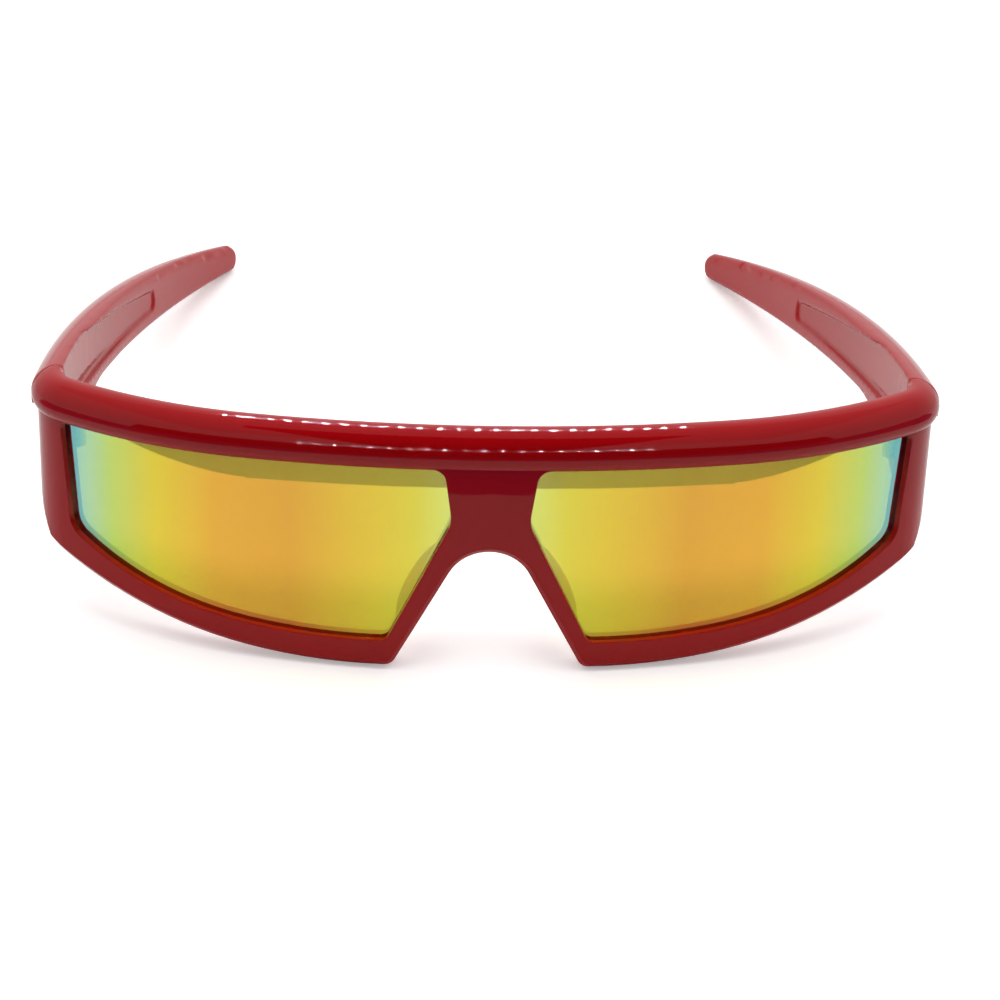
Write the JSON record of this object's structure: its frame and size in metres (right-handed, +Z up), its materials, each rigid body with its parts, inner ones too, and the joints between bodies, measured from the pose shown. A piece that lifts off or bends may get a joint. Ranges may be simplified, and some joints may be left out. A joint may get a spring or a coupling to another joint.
{
  "type": "shield sunglasses",
  "caption": "Wrap-around shield-style sunglasses with a full moulded rim, mirrored lenses on one curve and thick folding temples on hidden pin hinges.",
  "frame": {"origin": "middle of the footprint, on the level the rims and the temple tips rest on", "axes": "+X to the right as seen from the front, and pieces are named right or left the same way; +Y from the front to the temple tips; +Z up"},
  "size_m": [0.1482, 0.1392, 0.0408],
  "materials": {
    "frame": "deep red high gloss moulded plastic",
    "temple": "deep red high gloss moulded plastic",
    "lens": "tinted plastic with a gold to green mirror coating",
    "hinge": "bright stamped steel",
    "screw": "bright turned steel"
  },
  "bodies": {
    "front": {"front_frame": "frame", "right_lens": "lens", "left_lens": "lens", "right_front_leaf": "hinge", "left_front_leaf": "hinge", "right_hinge_screw": "screw", "left_hinge_screw": "screw"},
    "right_arm": {"right_temple": "temple", "right_temple_leaf": "hinge"},
    "left_arm": {"left_temple": "temple", "left_temple_leaf": "hinge"}
  },
  "joints": [
    {"name": "right_temple_fold", "type": "hinge", "parent": "front", "child": "right_arm", "pos_m": [0.06653, -0.04039, 0.02729], "axis": [0, 0.1398, 0.9902], "range_deg": [0, 76]},
    {"name": "left_temple_fold", "type": "hinge", "parent": "front", "child": "left_arm", "pos_m": [-0.06653, -0.04039, 0.02729], "axis": [0, 0.1398, 0.9902], "range_deg": [-84, 0]}
  ]
}
